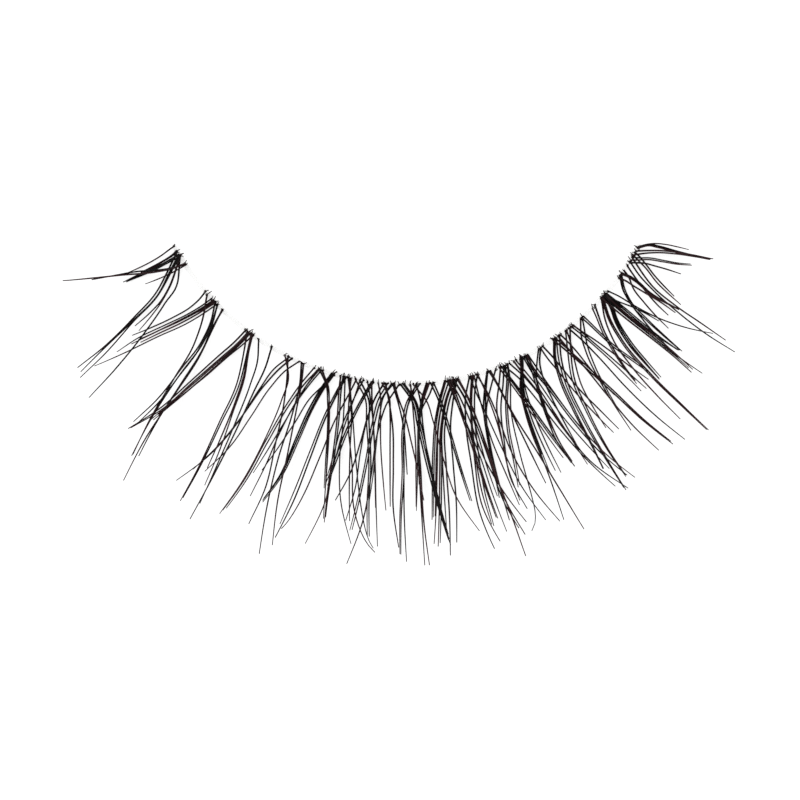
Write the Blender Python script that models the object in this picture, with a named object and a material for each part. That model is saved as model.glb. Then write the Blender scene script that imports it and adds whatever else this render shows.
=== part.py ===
"""False eyelash strip, lying on its band with the lashes curling up.

Metres, +Z up. The origin is the middle of the band's flat underside, +X runs
along the strip towards its inner corner and -Y is the way the lashes point.
"""

from collections import namedtuple

import bmesh
import bpy
import numpy as np

MM = 0.001

# The band is an arc of a circle, and the lashes stand outside that circle.
BAND_RADIUS = 15.87 * MM
BAND_HALF_ANGLE = np.radians(61.5)
BAND_FOOT_WIDTH = 0.34 * MM
BAND_TOP_WIDTH = 0.24 * MM
BAND_HEIGHT = 0.17 * MM
BAND_STEPS = 40
BAND_END_SHARE = 0.005

# A lash reaches this far from the band at most, and every reach is a share of it.
LASH_REACH = 12.0 * MM
LASH_WIDTH = 0.085 * MM
LASH_TIP_SHARE = 0.35
LASH_STEPS = 5

# A knot bar rests on the band, with one cell of its length for each strand.
KNOT_GAP = 0.03 * MM
KNOT_DEPTH = 0.26 * MM
KNOT_LOWEST = 0.16 * MM
KNOT_CELL_SHARE = 0.0026
STEM_END = 0.22 * MM

# The outermost strands of a wisp end this share short of its longest one, for
# each full spread that they lie aside.
TIP_STAGGER = 0.12

# Strands that cross are kept apart by the height of their level.
LEVEL_PITCH = 0.12 * MM

# The fringe dips from the knots to the floor, lies for a stretch and curls up.
BELLY_HEIGHT = 0.01 * MM
DIP_REACH = 0.12
LIE_SHARE = 0.28
CURL_RISE = 3.6 * MM
CURL_POWER = 1.8

# The longest lash at each share of the band, as a share of LASH_REACH.
Longest = namedtuple("Longest", "at reach")
LONGEST = (
    Longest(0.00, 0.78),
    Longest(0.20, 0.92),
    Longest(0.50, 0.90),
    Longest(0.85, 0.84),
    Longest(0.92, 0.60),
    Longest(1.00, 0.36),
)

# One wisp of strands. Every place along the band is a share of its length, 0
# at the outer corner and 1 at the inner one, and every reach a share of
# LASH_REACH. Wisps with the same knot share a bar, in the order listed.
Wisp = namedtuple("Wisp", "knot bend_at bend_reach tip_at reach level strands spread")
WISPS = (
    Wisp(0.0150, 0.012, 0.15, 0.003, 0.33, 0, 2, 0.008),
    Wisp(0.0150, 0.053, 0.16, 0.073, 0.74, 1, 2, 0.008),
    Wisp(0.0150, 0.062, 0.12, 0.079, 0.37, 1, 1, 0.000),
    Wisp(0.0150, 0.080, 0.20, 0.104, 0.78, 1, 2, 0.008),
    Wisp(0.0340, 0.018, 0.16, -0.027, 0.57, 2, 2, 0.006),
    Wisp(0.0970, 0.104, 0.18, 0.078, 0.42, 0, 2, 0.008),
    Wisp(0.1170, 0.104, 0.18, 0.086, 0.50, 0, 3, 0.009),
    Wisp(0.1170, 0.115, 0.22, 0.080, 0.66, 1, 1, 0.000),
    Wisp(0.1340, 0.152, 0.14, 0.177, 0.83, 2, 2, 0.005),
    Wisp(0.1340, 0.160, 0.16, 0.161, 0.68, 3, 2, 0.005),
    Wisp(0.1340, 0.168, 0.28, 0.189, 0.94, 2, 2, 0.007),
    Wisp(0.1900, 0.187, 0.20, 0.160, 0.74, 0, 3, 0.006),
    Wisp(0.2000, 0.243, 0.16, 0.250, 0.88, 2, 3, 0.008),
    Wisp(0.2100, 0.190, 0.20, 0.170, 0.64, 1, 3, 0.008),
    Wisp(0.2200, 0.245, 0.20, 0.264, 0.76, 2, 2, 0.005),
    Wisp(0.2200, 0.254, 0.18, 0.270, 0.85, 2, 1, 0.000),
    Wisp(0.2500, 0.263, 0.25, 0.269, 0.94, 1, 1, 0.000),
    Wisp(0.2850, 0.262, 0.40, 0.235, 0.81, 0, 2, 0.007),
    Wisp(0.2850, 0.317, 0.20, 0.297, 0.85, 2, 2, 0.005),
    Wisp(0.2850, 0.322, 0.30, 0.330, 0.84, 2, 2, 0.005),
    Wisp(0.3015, 0.277, 0.22, 0.257, 0.70, 0, 2, 0.006),
    Wisp(0.3115, 0.334, 0.26, 0.352, 0.94, 2, 3, 0.012),
    Wisp(0.3370, 0.308, 0.26, 0.297, 0.85, 0, 3, 0.008),
    Wisp(0.3370, 0.322, 0.26, 0.313, 0.64, 0, 2, 0.006),
    Wisp(0.3495, 0.377, 0.15, 0.396, 0.60, 2, 3, 0.008),
    Wisp(0.3630, 0.342, 0.20, 0.318, 0.56, 0, 2, 0.004),
    Wisp(0.3630, 0.349, 0.26, 0.331, 0.74, 0, 3, 0.006),
    Wisp(0.3830, 0.403, 0.20, 0.407, 0.73, 2, 3, 0.006),
    Wisp(0.3830, 0.371, 0.25, 0.358, 0.82, 0, 3, 0.006),
    Wisp(0.4010, 0.404, 0.38, 0.438, 0.81, 2, 2, 0.005),
    Wisp(0.4010, 0.430, 0.40, 0.463, 0.82, 3, 2, 0.008),
    Wisp(0.4125, 0.386, 0.28, 0.365, 0.80, 0, 2, 0.006),
    Wisp(0.4270, 0.444, 0.18, 0.456, 0.79, 2, 3, 0.010),
    Wisp(0.4270, 0.412, 0.18, 0.398, 0.62, 1, 3, 0.006),
    Wisp(0.4450, 0.458, 0.26, 0.473, 0.83, 2, 3, 0.008),
    Wisp(0.4450, 0.465, 0.25, 0.477, 0.63, 2, 2, 0.004),
    Wisp(0.4600, 0.437, 0.20, 0.421, 0.66, 0, 2, 0.010),
    Wisp(0.4600, 0.449, 0.20, 0.438, 0.76, 0, 2, 0.005),
    Wisp(0.4790, 0.482, 0.22, 0.486, 0.78, 2, 3, 0.010),
    Wisp(0.4790, 0.458, 0.22, 0.441, 0.90, 1, 2, 0.006),
    Wisp(0.4970, 0.506, 0.26, 0.521, 0.58, 2, 2, 0.004),
    Wisp(0.4970, 0.522, 0.24, 0.546, 0.79, 2, 3, 0.008),
    Wisp(0.5115, 0.482, 0.22, 0.497, 0.86, 0, 3, 0.008),
    Wisp(0.5220, 0.546, 0.30, 0.580, 0.77, 2, 2, 0.005),
    Wisp(0.5380, 0.513, 0.22, 0.515, 0.82, 0, 3, 0.011),
    Wisp(0.5380, 0.561, 0.22, 0.577, 0.60, 2, 3, 0.005),
    Wisp(0.5660, 0.536, 0.20, 0.531, 0.68, 0, 3, 0.006),
    Wisp(0.5660, 0.549, 0.22, 0.538, 0.80, 0, 3, 0.008),
    Wisp(0.5850, 0.590, 0.20, 0.606, 0.76, 2, 3, 0.010),
    Wisp(0.5850, 0.553, 0.22, 0.551, 0.83, 0, 3, 0.012),
    Wisp(0.6080, 0.611, 0.30, 0.624, 0.88, 2, 3, 0.008),
    Wisp(0.6080, 0.574, 0.20, 0.593, 0.84, 0, 3, 0.012),
    Wisp(0.6270, 0.629, 0.28, 0.654, 0.78, 2, 2, 0.004),
    Wisp(0.6270, 0.638, 0.34, 0.668, 0.82, 2, 2, 0.005),
    Wisp(0.6450, 0.613, 0.20, 0.611, 0.68, 0, 3, 0.006),
    Wisp(0.6450, 0.661, 0.26, 0.670, 0.62, 2, 2, 0.004),
    Wisp(0.6450, 0.667, 0.30, 0.690, 0.90, 2, 1, 0.000),
    Wisp(0.6670, 0.636, 0.20, 0.632, 0.62, 0, 2, 0.004),
    Wisp(0.6670, 0.648, 0.22, 0.640, 0.62, 0, 2, 0.004),
    Wisp(0.6670, 0.656, 0.30, 0.641, 0.82, 0, 1, 0.000),
    Wisp(0.6860, 0.687, 0.26, 0.704, 0.56, 2, 2, 0.006),
    Wisp(0.6860, 0.716, 0.38, 0.744, 0.79, 2, 3, 0.007),
    Wisp(0.7080, 0.676, 0.20, 0.675, 0.80, 0, 2, 0.003),
    Wisp(0.7080, 0.684, 0.20, 0.690, 0.60, 0, 2, 0.005),
    Wisp(0.7080, 0.706, 0.26, 0.707, 0.58, 0, 2, 0.004),
    Wisp(0.7260, 0.730, 0.36, 0.745, 0.69, 2, 2, 0.004),
    Wisp(0.7260, 0.738, 0.36, 0.762, 0.80, 2, 2, 0.005),
    Wisp(0.7480, 0.712, 0.14, 0.722, 0.50, 0, 2, 0.004),
    Wisp(0.7480, 0.759, 0.26, 0.776, 0.55, 2, 2, 0.008),
    Wisp(0.7755, 0.739, 0.16, 0.739, 0.68, 0, 3, 0.005),
    Wisp(0.7755, 0.749, 0.20, 0.749, 0.80, 0, 2, 0.004),
    Wisp(0.7880, 0.801, 0.40, 0.819, 0.73, 2, 3, 0.005),
    Wisp(0.8000, 0.757, 0.15, 0.756, 0.76, 0, 3, 0.004),
    Wisp(0.8000, 0.765, 0.17, 0.767, 0.50, 0, 1, 0.000),
    Wisp(0.8140, 0.820, 0.34, 0.833, 0.79, 2, 1, 0.000),
    Wisp(0.8140, 0.829, 0.20, 0.836, 0.47, 2, 2, 0.005),
    Wisp(0.8140, 0.834, 0.17, 0.849, 0.45, 2, 1, 0.000),
    Wisp(0.8370, 0.798, 0.14, 0.792, 0.58, 0, 2, 0.004),
    Wisp(0.8370, 0.843, 0.18, 0.856, 0.42, 2, 2, 0.003),
    Wisp(0.8660, 0.838, 0.16, 0.834, 0.42, 0, 3, 0.005),
    Wisp(0.8830, 0.841, 0.18, 0.844, 0.70, 0, 1, 0.000),
    Wisp(0.8830, 0.851, 0.18, 0.858, 0.86, 0, 2, 0.002),
    Wisp(0.8830, 0.860, 0.14, 0.863, 0.56, 0, 2, 0.003),
    Wisp(0.9020, 0.889, 0.22, 0.898, 0.58, 2, 3, 0.006),
    Wisp(0.9020, 0.913, 0.24, 0.946, 0.54, 2, 1, 0.000),
    Wisp(0.9360, 0.904, 0.12, 0.898, 0.46, 0, 2, 0.003),
    Wisp(0.9360, 0.910, 0.12, 0.906, 0.52, 0, 2, 0.003),
    Wisp(0.9360, 0.925, 0.12, 0.918, 0.35, 0, 1, 0.000),
    Wisp(0.9360, 0.944, 0.16, 0.947, 0.33, 2, 1, 0.000),
    Wisp(0.9600, 0.943, 0.12, 0.933, 0.31, 0, 2, 0.004),
    Wisp(0.9600, 0.946, 0.16, 0.945, 0.64, 0, 3, 0.006),
    Wisp(0.9770, 0.965, 0.11, 0.957, 0.30, 0, 2, 0.004),
    Wisp(0.9770, 0.981, 0.07, 0.992, 0.24, 2, 1, 0.000),
    Wisp(0.9930, 0.993, 0.08, 1.008, 0.27, 2, 2, 0.005),
    Wisp(0.9930, 1.012, 0.05, 1.029, 0.34, 2, 3, 0.004),
    Wisp(0.9930, 1.020, 0.03, 1.034, 0.22, 2, 1, 0.000),
)

# Looks: base colour, roughness and metallic of each material.
Finish = namedtuple("Finish", "colour roughness metallic")
CLEAR_BAND = Finish((0.80, 0.81, 0.80, 1.0), 0.30, 0.0)
DARK_LASH = Finish((0.014, 0.010, 0.011, 1.0), 0.42, 0.0)


def clear_scene():
    for thing in list(bpy.data.objects):
        bpy.data.objects.remove(thing, do_unlink=True)


def make_material(name, finish):
    material = bpy.data.materials.new(name)
    material.use_nodes = True
    shader = material.node_tree.nodes["Principled BSDF"]
    shader.inputs["Base Color"].default_value = finish.colour
    shader.inputs["Roughness"].default_value = finish.roughness
    shader.inputs["Metallic"].default_value = finish.metallic
    return material


def add_object(name, verts, faces, material):
    mesh = bpy.data.meshes.new(name)
    mesh.from_pydata([tuple(vert) for vert in verts], [], faces)
    mesh.materials.append(material)
    shape = bmesh.new()
    shape.from_mesh(mesh)
    bmesh.ops.recalc_face_normals(shape, faces=shape.faces)
    shape.to_mesh(mesh)
    shape.free()
    thing = bpy.data.objects.new(name, mesh)
    bpy.context.collection.objects.link(thing)
    return thing


def outward_at(share):
    """Unit vector in plan that points away from the eye at a share of the band."""
    angle = (share - 0.5) * 2.0 * BAND_HALF_ANGLE
    return np.stack([np.sin(angle), -np.cos(angle)], axis=-1)


def plan_point(share, distance):
    """Plan position at a share of the band and a distance outside its line."""
    centre = np.array([0.0, BAND_RADIUS])
    return centre + outward_at(share) * (BAND_RADIUS + distance)[..., None]


def fringe_floor(share, reach):
    """Height of the underside of the lowest strands, from the plan place only."""
    longest = np.interp(share, [row.at for row in LONGEST], [row.reach for row in LONGEST])
    knot_foot = BAND_HEIGHT + KNOT_GAP
    fallen = np.clip(reach * LASH_REACH - STEM_END, 0.0, None) / (DIP_REACH * LASH_REACH - STEM_END)
    fallen = np.clip(fallen, 0.0, 1.0)
    ease = fallen * fallen * (3.0 - 2.0 * fallen)
    dip = knot_foot + (BELLY_HEIGHT - knot_foot) * ease
    curled = np.clip((reach / longest - LIE_SHARE) / (1.0 - LIE_SHARE), 0.0, None)
    return dip + CURL_RISE * longest * curled ** CURL_POWER


def strand_path(root_at, wisp, offset):
    """Quadratic curve from the stem to the tip, in shares of band and reach."""
    steps = np.linspace(0.0, 1.0, LASH_STEPS + 1)
    knot_spread = wisp.strands * KNOT_CELL_SHARE
    bend_at = wisp.bend_at + offset * (wisp.spread + knot_spread) * 0.5
    tip_at = wisp.tip_at + offset * wisp.spread
    tip_reach = wisp.reach * (1.0 - TIP_STAGGER * abs(offset))
    stem = STEM_END / LASH_REACH
    near = (1.0 - steps) ** 2
    middle = 2.0 * steps * (1.0 - steps)
    far = steps ** 2
    share = near * root_at + middle * bend_at + far * tip_at
    reach = near * stem + middle * wisp.bend_reach + far * tip_reach
    return share, reach


def strand_rings(root_at, wisp, offset):
    """Four corners of each section past the knot, and the tip point."""
    share, reach = strand_path(root_at, wisp, offset)
    plan = plan_point(share, reach * LASH_REACH)
    steps = np.linspace(0.0, 1.0, len(share))
    size = LASH_WIDTH * (1.0 - (1.0 - LASH_TIP_SHARE) * steps)
    bottom = fringe_floor(share, reach) + wisp.level * LEVEL_PITCH
    along = np.gradient(plan, axis=0)
    along[0] = outward_at(share[0])
    along /= np.linalg.norm(along, axis=1)[:, None]
    side = np.stack([-along[:, 1], along[:, 0]], axis=1)
    rings = []
    for centre, across, width, foot in zip(plan[:-1], side, size, bottom):
        left = centre - across * width * 0.5
        right = centre + across * width * 0.5
        rings.append([(*left, foot), (*right, foot), (*right, foot + width), (*left, foot + width)])
    tip = (*plan[-1], bottom[-1] + size[-1] * 0.5)
    return rings, tip


def build_lock(name, knot_at, wisps, material):
    """A knot bar on the band with a strand lofted out of each of its cells."""
    count = sum(wisp.strands for wisp in wisps)
    top_level = max(wisp.level for wisp in wisps)
    foot = BAND_HEIGHT + KNOT_GAP
    top = foot + max(KNOT_LOWEST, LASH_WIDTH + top_level * LEVEL_PITCH)
    edges = knot_at + (np.arange(count + 1) - count * 0.5) * KNOT_CELL_SHARE
    back = plan_point(edges, np.full(count + 1, -KNOT_DEPTH * 0.5))
    front = plan_point(edges, np.full(count + 1, KNOT_DEPTH * 0.5))
    verts = []
    for place in range(count + 1):
        verts.append((*back[place], foot))
        verts.append((*back[place], top))
        verts.append((*front[place], foot))
        verts.append((*front[place], top))
    last = 4 * count
    faces = [(0, 1, 3, 2), (last, last + 2, last + 3, last + 1)]
    for cell in range(count):
        near = 4 * cell
        far = near + 4
        faces.append((near, near + 2, far + 2, far))
        faces.append((near + 1, far + 1, far + 3, near + 3))
        faces.append((near, far, far + 1, near + 1))
    cell = 0
    for wisp in wisps:
        for strand in range(wisp.strands):
            offset = (strand - (wisp.strands - 1) * 0.5) / max(1, wisp.strands - 1)
            root_at = knot_at + (cell + 0.5 - count * 0.5) * KNOT_CELL_SHARE
            rings, tip = strand_rings(root_at, wisp, offset)
            near = 4 * cell
            ring = [near + 2, near + 6, near + 7, near + 3]
            for corners in rings:
                first = len(verts)
                verts.extend(corners)
                new_ring = [first, first + 1, first + 2, first + 3]
                faces.extend(join_rings(ring, new_ring))
                ring = new_ring
            verts.append(tip)
            point = len(verts) - 1
            faces.extend((ring[k], ring[(k + 1) % 4], point) for k in range(4))
            cell += 1
    return add_object(name, verts, faces, material)


def join_rings(ring, new_ring):
    size = len(ring)
    return [
        (ring[k], ring[(k + 1) % size], new_ring[(k + 1) % size], new_ring[k])
        for k in range(size)
    ]


def build_band(material):
    """Flat-bottomed clear ribbon along the whole arc."""
    share = np.linspace(-BAND_END_SHARE, 1.0 + BAND_END_SHARE, BAND_STEPS + 1)
    section = (
        (-BAND_FOOT_WIDTH * 0.5, 0.0),
        (BAND_FOOT_WIDTH * 0.5, 0.0),
        (BAND_TOP_WIDTH * 0.5, BAND_HEIGHT),
        (-BAND_TOP_WIDTH * 0.5, BAND_HEIGHT),
    )
    corners = [plan_point(share, np.full(len(share), out)) for out, _ in section]
    verts = []
    for place in range(len(share)):
        for corner, (_, height) in zip(corners, section):
            verts.append((*corner[place], height))
    faces = [(0, 1, 2, 3)]
    for place in range(BAND_STEPS):
        first = 4 * place
        ring = list(range(first, first + 4))
        faces.extend(join_rings(ring, [corner + 4 for corner in ring]))
    last = 4 * BAND_STEPS
    faces.append((last + 3, last + 2, last + 1, last))
    return add_object("lash_band", verts, faces, material)


def main():
    clear_scene()
    band_material = make_material("clear_band", CLEAR_BAND)
    lash_material = make_material("dark_lash", DARK_LASH)
    build_band(band_material)
    knots = sorted({wisp.knot for wisp in WISPS})
    for number, knot_at in enumerate(knots, start=1):
        wisps = [wisp for wisp in WISPS if wisp.knot == knot_at]
        build_lock(f"lash_lock_{number:02d}", knot_at, wisps, lash_material)


main()
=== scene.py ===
import math

import bpy
import numpy as np
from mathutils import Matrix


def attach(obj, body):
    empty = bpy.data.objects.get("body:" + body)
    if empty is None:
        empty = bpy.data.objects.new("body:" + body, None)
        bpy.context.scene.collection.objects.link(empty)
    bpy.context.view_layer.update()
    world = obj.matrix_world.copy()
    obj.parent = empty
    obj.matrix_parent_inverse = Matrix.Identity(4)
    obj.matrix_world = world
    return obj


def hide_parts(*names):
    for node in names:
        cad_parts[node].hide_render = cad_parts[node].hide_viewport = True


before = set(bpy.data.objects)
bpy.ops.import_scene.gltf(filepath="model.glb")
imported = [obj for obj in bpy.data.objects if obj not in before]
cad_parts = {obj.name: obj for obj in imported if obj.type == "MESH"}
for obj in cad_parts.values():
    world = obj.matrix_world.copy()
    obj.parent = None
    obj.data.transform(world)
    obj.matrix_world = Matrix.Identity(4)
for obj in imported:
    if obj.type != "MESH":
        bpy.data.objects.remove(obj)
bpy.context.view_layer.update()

print("frame loaded:", len(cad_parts), "solids")

# Everything is in metres. A place along the band is a share of its length, 0 at
# the outer corner of the eye and 1 at the inner one, and a place off the band is
# a share of the longest reach of a lash.
strip = {
    "bandRadius": 0.01587,
    "bandHalfAngle": math.radians(61.5),
    "bandTop": 0.00017,
    "reach": 0.012,
    "knotFoot": 0.00020,      # height of the lowest fibres over the knots
    "bellyHeight": 0.00001,   # height of the lowest fibres where they lie
    "dipReach": 0.12,         # they have come down to the floor this far out
    "lieShare": 0.28,         # and lie until this share of their length
    "curlRise": 0.0036,
    "curlPower": 1.8,
    "levelPitch": 0.00014,    # step in height between fibres that cross
}

# The longest lash at a few places along the band: place, reach.
longestLash = np.array([
    (0.00, 0.78), (0.20, 0.92), (0.50, 0.90), (0.85, 0.84), (0.92, 0.60), (1.00, 0.36),
])


def hexToLinear(code):
    # sRGB to linear: below 0.04045 divide by 12.92, else ((c + 0.055) / 1.055) ^ 2.4
    values = [int(code[k:k + 2], 16) / 255 for k in (1, 3, 5)]
    linear = [c / 12.92 if c <= 0.04045 else ((c + 0.055) / 1.055) ** 2.4 for c in values]
    return (*linear, 1.0)


def addNode(tree, kind, settings=None, inputs=None, links=None):
    # settings are the node's own properties, inputs are the values of its sockets,
    # and links give the output that feeds each of its sockets
    node = tree.nodes.new(kind)
    for key, value in (settings or {}).items():
        setattr(node, key, value)
    for key, value in (inputs or {}).items():
        node.inputs[key].default_value = value
    for key, source in (links or {}).items():
        tree.links.new(source, node.inputs[key])
    return node


def newMaterial(name, inputs):
    # inputs are the values of the shader's own sockets
    material = bpy.data.materials.new(name)
    material.use_nodes = True
    shader = material.node_tree.nodes["Principled BSDF"]
    for key, value in inputs.items():
        shader.inputs[key].default_value = value
    return material, material.node_tree, shader


def makeLashFibre():
    # Drawn polyester fibre, dyed soft black: satin, with a plum-brown cast on the paler
    # fibres and towards the tips, and fine die lines along its length. Each fibre is also
    # painted darker towards its root: a painted shade where the fibres crowd at the knots.
    material, tree, shader = newMaterial("polyesterFibreRootShaded", {
        "Roughness": 0.40,
        "IOR": 1.55,
        "Metallic": 0.0,
        "Specular IOR Level": 0.16,
    })
    # the attribute holds each fibre's random tone times a painted shade that darkens it towards its
    # root
    tone = addNode(tree, "ShaderNodeAttribute", {"attribute_name": "toneWithRootShade"})
    coords = addNode(tree, "ShaderNodeTexCoord")
    patches = addNode(tree, "ShaderNodeTexNoise", None,
                      {"Scale": 900.0, "Detail": 2.0, "Roughness": 0.5},
                      {"Vector": coords.outputs["Object"]})     # about 1 mm patches
    blend = addNode(tree, "ShaderNodeMath", {"operation": "MULTIPLY"}, None,
                    {0: tone.outputs["Fac"], 1: patches.outputs["Fac"]})
    colours = addNode(tree, "ShaderNodeValToRGB", None, None, {"Fac": blend.outputs["Value"]})
    ramp = colours.color_ramp
    ramp.elements[0].position = 0.06
    ramp.elements[0].color = hexToLinear("#080304")
    ramp.elements[1].position = 0.50
    ramp.elements[1].color = hexToLinear("#4b2a2e")
    tree.links.new(colours.outputs["Color"], shader.inputs["Base Color"])
    uv = addNode(tree, "ShaderNodeUVMap", {"uv_map": "fibreMap"})
    stretch = addNode(tree, "ShaderNodeMapping", None, {"Scale": (14.0, 1.5, 1.0)},
                      {"Vector": uv.outputs["UV"]})
    # about 14 lines round the fibre, drawn coarse to show
    lines = addNode(tree, "ShaderNodeTexNoise", None, {"Scale": 1.0, "Detail": 3.0},
                    {"Vector": stretch.outputs["Vector"]})
    bump = addNode(tree, "ShaderNodeBump", None, {"Strength": 0.25, "Distance": 0.000006},
                   {"Height": lines.outputs["Fac"]})
    tree.links.new(bump.outputs["Normal"], shader.inputs["Normal"])
    return material


def makeKnotFibre():
    # The same fibre wound tight and wetted with clear glue: darker and glossier.
    material, tree, shader = newMaterial("gluedKnotFibre", {
        "Roughness": 0.28,
        "IOR": 1.55,
        "Metallic": 0.0,
        "Specular IOR Level": 0.3,
    })
    coords = addNode(tree, "ShaderNodeTexCoord")
    grain = addNode(tree, "ShaderNodeTexNoise", None, {"Scale": 9000.0, "Detail": 2.0},
                    {"Vector": coords.outputs["Object"]})       # about 0.1 mm, a turn of the knot
    colours = addNode(tree, "ShaderNodeValToRGB", None, None, {"Fac": grain.outputs["Fac"]})
    ramp = colours.color_ramp
    ramp.elements[0].position = 0.35
    ramp.elements[0].color = hexToLinear("#120809")
    ramp.elements[1].position = 0.70
    ramp.elements[1].color = hexToLinear("#43292c")
    tree.links.new(colours.outputs["Color"], shader.inputs["Base Color"])
    return material


def makeClearBand():
    # Cast clear polyurethane: water-clear, slightly glossy, a little cloudy.
    material, tree, shader = newMaterial("castClearPolyurethane", {
        "Base Color": hexToLinear("#f4f4f2"),
        "IOR": 1.50,
        "Metallic": 0.0,
        "Alpha": 0.16,
    })
    coords = addNode(tree, "ShaderNodeTexCoord")
    cloud = addNode(tree, "ShaderNodeTexNoise", None, {"Scale": 2500.0, "Detail": 3.0},
                    {"Vector": coords.outputs["Object"]})       # about 0.4 mm, streaks of casting
    spread = addNode(tree, "ShaderNodeMapRange", None, {"To Min": 0.16, "To Max": 0.34},
                     {"Value": cloud.outputs["Fac"]})
    tree.links.new(spread.outputs["Result"], shader.inputs["Roughness"])
    bump = addNode(tree, "ShaderNodeBump", None, {"Strength": 0.3, "Distance": 0.00001},
                   {"Height": cloud.outputs["Fac"]})
    tree.links.new(bump.outputs["Normal"], shader.inputs["Normal"])
    return material


def makeLitFloor():
    # Opal acrylic lit from below: matt, even white, with hardly a shadow.
    return newMaterial("backlitOpalAcrylic", {
        "Base Color": hexToLinear("#dcdcdc"),
        "Roughness": 0.8,
        "Specular IOR Level": 0.1,
        "Emission Color": hexToLinear("#ffffff"),
        "Emission Strength": 0.79,
    })[0]


lashFibre = makeLashFibre()
knotFibre = makeKnotFibre()
clearBand = makeClearBand()
litFloor = makeLitFloor()
print("materials made")


def planPoint(share, out):
    # angle = (share - 1/2) * 2 * half angle, and the point lies at the band's
    # radius + out from the arc's centre, which is one radius along +Y
    angle = (share - 0.5) * 2 * strip["bandHalfAngle"]
    radius = strip["bandRadius"] + out
    return np.stack([radius * np.sin(angle), strip["bandRadius"] - radius * np.cos(angle)], axis=-1)


def fringeFloor(share, reach):
    # height = a smooth step down from the knots to the floor, plus
    # rise * longest * ((reach / longest - lie) / (1 - lie)) ^ power
    longest = np.interp(share, longestLash[:, 0], longestLash[:, 1])
    fallen = np.clip(reach / strip["dipReach"], 0, 1)
    ease = fallen * fallen * (3 - 2 * fallen)
    dip = strip["knotFoot"] + (strip["bellyHeight"] - strip["knotFoot"]) * ease
    curled = np.clip((reach / longest - strip["lieShare"]) / (1 - strip["lieShare"]), 0, None)
    return dip + strip["curlRise"] * longest * curled ** strip["curlPower"]


def tubeArrays(paths, radii, sides):
    # Rings of points round each path: path + radius * (cos a * side + sin a * up),
    # for many paths at once. paths is (tubes, steps, 3) and radii (tubes, steps).
    tubes, steps = radii.shape
    along = np.gradient(paths, axis=1)
    along /= np.linalg.norm(along, axis=2, keepdims=True)
    upward = np.array([0.0, 0.0, 1.0])
    side = np.cross(along, upward)
    side /= np.linalg.norm(side, axis=2, keepdims=True)
    up = np.cross(side, along)
    turn = np.arange(sides) * 2 * np.pi / sides
    ring = (np.cos(turn)[:, None] * side[:, :, None, :]
            + np.sin(turn)[:, None] * up[:, :, None, :])
    points = paths[:, :, None, :] + radii[:, :, None, None] * ring
    grid = np.arange(tubes * steps * sides).reshape(tubes, steps, sides)
    nextRound = np.roll(grid, -1, axis=2)
    quads = np.stack([grid[:, :-1], grid[:, 1:], nextRound[:, 1:], nextRound[:, :-1]], axis=-1)
    return points.reshape(-1, 3), quads.reshape(-1, 4), grid


def meshFromArrays(name, points, quads, caps):
    # quads is (n, 4) and caps a list of (m, sides) arrays of end polygons
    mesh = bpy.data.meshes.new(name)
    faces = [quads, *caps]
    loops = np.concatenate([face.ravel() for face in faces])
    sizes = np.concatenate([np.full(len(face), face.shape[1]) for face in faces])
    starts = np.concatenate([[0], np.cumsum(sizes)[:-1]])
    mesh.vertices.add(len(points))
    mesh.vertices.foreach_set("co", points.astype(np.float32).ravel())
    mesh.loops.add(len(loops))
    mesh.loops.foreach_set("vertex_index", loops.astype(np.int32))
    mesh.polygons.add(len(sizes))
    mesh.polygons.foreach_set("loop_start", starts.astype(np.int32))
    mesh.polygons.foreach_set("use_smooth", np.ones(len(sizes), dtype=bool))
    mesh.update(calc_edges=True)
    mesh.validate()
    return mesh


def addPiece(name, mesh, material, nodes):
    # nodes are the CAD solids that the piece stands for
    mesh.materials.append(material)
    piece = bpy.data.objects.new(name, mesh)
    bpy.context.scene.collection.objects.link(piece)
    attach(piece, "root")
    if nodes:
        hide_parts(*nodes)
    return piece


lashes = {
    "locks": 49,
    "thickness": 0.000120,    # of a fibre near its knot
    "thicknessSpread": (0.86, 1.10),
    "slimness": (0.98, 0.91, 0.83, 0.79, 0.76, 0.48),    # thickness at each station, as a share
    "sides": 8,
    "rootSteps": 4,
    "steps": 36,
    "crowding": 1.3,          # above 1 the steps lie closer together near the root
    "rootMix": (0.8, 0.4),    # even and random part of a wisp's spread at its roots
    "tipMix": (0.7, 0.6),     # and at its tips
    # how much each station takes of the spread at the roots, waist and tips
    "rootPull": (1.0, 0.55, 0.25, 0.05, 0.0, 0.0),
    "waistPull": (0.0, 0.45, 0.75, 0.80, 0.40, 0.0),
    "tipPull": (0.0, 0.0, 0.0, 0.20, 0.60, 1.0),
    "packing": 0.0026,        # fibres of a wisp lie this far apart at its waist
    "drawnOut": 1.006,        # the last hair-thin bit runs past where the table says
    "shorter": 0.05,          # how much shorter the shortest fibre of a wisp is
    "looseHeight": 0.00004,   # fibres of a wisp differ in height by up to this
    "levelReach": 0.05,       # a fibre is up on its level this far out
    "wave": 0.0006,           # sideways waver, as a share of the band
    "waveTurn": 5.0,          # radians of it from root to tip
    "hookPower": 20,          # the higher, the nearer to the tip a hook begins
    "stub": 0.0032,           # how far a fibre's cut end shows behind its knot
    "stubShortest": 0.2,      # as a share of the stub
    "stubMore": (0.5, 2.2),   # about the mean, and the most, of what is added to it
    "paleness": 1.6,          # above 1 fewer fibres are pale
    # the tone kept at the root, as a share of the tip's, is a painted shade: each fibre darker
    # towards its root, where the fibres crowd
    "shadedToneAtRoot": 0.6,        # of the tone at the tip
    "seed": 8,
}

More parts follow.
